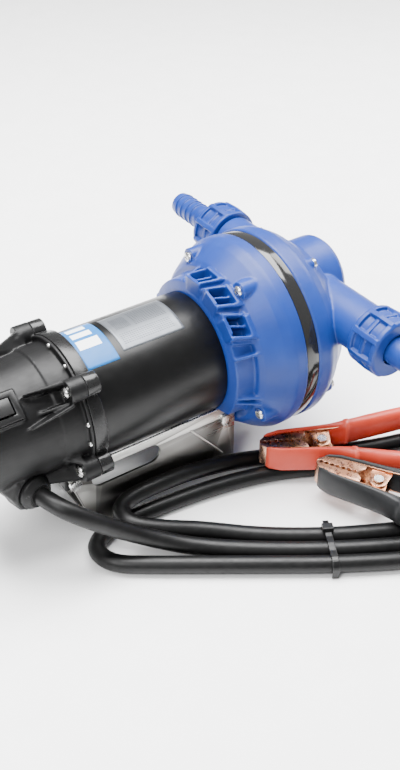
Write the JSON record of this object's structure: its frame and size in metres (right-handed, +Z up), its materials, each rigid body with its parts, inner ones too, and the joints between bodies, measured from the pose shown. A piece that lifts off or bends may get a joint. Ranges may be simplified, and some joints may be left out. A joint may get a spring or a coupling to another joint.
{
  "type": "electric diaphragm transfer pump",
  "caption": "Electric diaphragm bilge and transfer pump on a steel foot bracket, with barbed hose unions, a rocker switch and a battery cable with spring clamps.",
  "frame": {"origin": "the middle of the four foot holes, on the plane that the feet stand on", "axes": "+X along the motor axis from the rear cover to the pump head, +Y towards the outlet, +Z up from the feet"},
  "size_m": [0.3876, 0.3608, 0.1585],
  "materials": {
    "black_paint": "satin gloss",
    "black_mould": "moulded, slight sheen",
    "blue_mould": "moulded, satin",
    "black_gloss": "glossy",
    "steel": "brushed stainless",
    "dark_steel": "blackened screws",
    "shaft_steel": "ground",
    "copper": "copper plated",
    "copper_wire": "enamelled",
    "magnet": "ferrite",
    "carbon": "carbon",
    "rubber": "soft",
    "seal": "soft",
    "santoprene": "moulded",
    "cable": "satin",
    "red_vinyl": "vinyl dip",
    "black_vinyl": "vinyl dip",
    "red_wire": "insulation",
    "blue_label": "printed film",
    "silver_label": "printed foil",
    "nylon": "nylon"
  },
  "bodies": {
    "pump": {"motor_can": "black_paint", "field_magnets": "magnet", "rear_end_bell": "black_paint", "motor_bearings": "shaft_steel", "brush_holder": "nylon", "brushes": "carbon", "brush_springs": "shaft_steel", "rear_cover": "black_mould", "rear_cover_screws": "dark_steel", "end_bell_screws": "steel", "switch_housing": "black_gloss", "gland_body": "nylon", "gland_nut": "black_mould", "gland_seal": "seal", "pump_housing": "blue_mould", "housing_screws": "dark_steel", "head_screws": "steel", "diaphragm": "santoprene", "valve_plate": "nylon", "valve_flaps": "santoprene", "chamber_seal": "seal", "pump_head": "blue_mould", "bypass_spring": "shaft_steel", "bypass_retainer": "nylon", "band_clamp": "black_gloss", "band_bolt_and_nut": "steel", "inlet_hose_tail": "blue_mould", "outlet_hose_tail": "blue_mould", "union_gaskets": "seal", "mounting_bracket": "steel", "bracket_screws": "steel", "red_fixed_jaw": "copper", "black_fixed_jaw": "copper", "red_fixed_grip": "red_vinyl", "black_fixed_grip": "black_vinyl", "clamp_pins": "shaft_steel", "clamp_springs": "shaft_steel", "power_cable": "cable", "red_lead": "red_wire", "black_lead": "cable", "split_sleeve": "rubber", "cable_tie": "nylon", "motor_label": "blue_label", "rating_label": "silver_label"},
    "rotor": {"armature_core": "dark_steel", "armature_windings": "copper_wire", "commutator": "copper", "motor_shaft": "shaft_steel", "wobble_hub": "shaft_steel"},
    "wobble": {"wobble_bearing": "shaft_steel", "wobble_plate": "nylon", "piston_caps": "nylon"},
    "rocker": {"switch_rocker": "black_gloss"},
    "red_jaw": {"red_moving_jaw": "copper", "red_moving_grip": "red_vinyl"},
    "black_jaw": {"black_moving_jaw": "copper", "black_moving_grip": "black_vinyl"},
    "inlet_nut": {"inlet_union_nut": "blue_mould"},
    "outlet_nut": {"outlet_union_nut": "blue_mould"},
    "bypass_valve": {"bypass_poppet": "nylon"}
  },
  "joints": [
    {"name": "rotor_spin", "type": "hinge", "parent": "pump", "child": "rotor", "pos_m": [0, 0, 0.088], "axis": [1, 0, 0], "continuous": true},
    {"name": "wobble_spin", "type": "hinge", "parent": "rotor", "child": "wobble", "pos_m": [0.068, 0, 0.088], "axis": [0.9976, 0, -0.0698], "continuous": true},
    {"name": "switch_rock", "type": "hinge", "parent": "pump", "child": "rocker", "pos_m": [-0.113, -0.02426, 0.11905], "axis": [0, 0.788, 0.6157], "range_deg": [-7, 7]},
    {"name": "red_clamp_hinge", "type": "hinge", "parent": "pump", "child": "red_jaw", "pos_m": [0.10367, -0.07299, 0.0224], "axis": [0, 0, 1], "range_deg": [0, 20], "stiffness_Nm_per_rad": 2, "springref_deg": -17.19},
    {"name": "black_clamp_hinge", "type": "hinge", "parent": "pump", "child": "black_jaw", "pos_m": [0.108, -0.12711, 0.0224], "axis": [0, 0, 1], "range_deg": [0, 20], "stiffness_Nm_per_rad": 2, "springref_deg": -17.19},
    {"name": "inlet_nut_turn", "type": "hinge", "parent": "pump", "child": "inlet_nut", "pos_m": [0.1335, -0.088, 0.112], "axis": [0, -1, 0], "continuous": true},
    {"name": "outlet_nut_turn", "type": "hinge", "parent": "pump", "child": "outlet_nut", "pos_m": [0.1335, 0.088, 0.112], "axis": [0, 1, 0], "continuous": true},
    {"name": "bypass_lift", "type": "slide", "parent": "pump", "child": "bypass_valve", "axis": [0, 1, 0], "range_m": [0, 0.003], "stiffness_N_per_m": 2000, "springref_m": -0.002, "deforming": ["bypass_spring"]}
  ],
  "couplings": [
    {"joint": "wobble_spin", "follows": "rotor_spin", "ratio": -1}
  ]
}
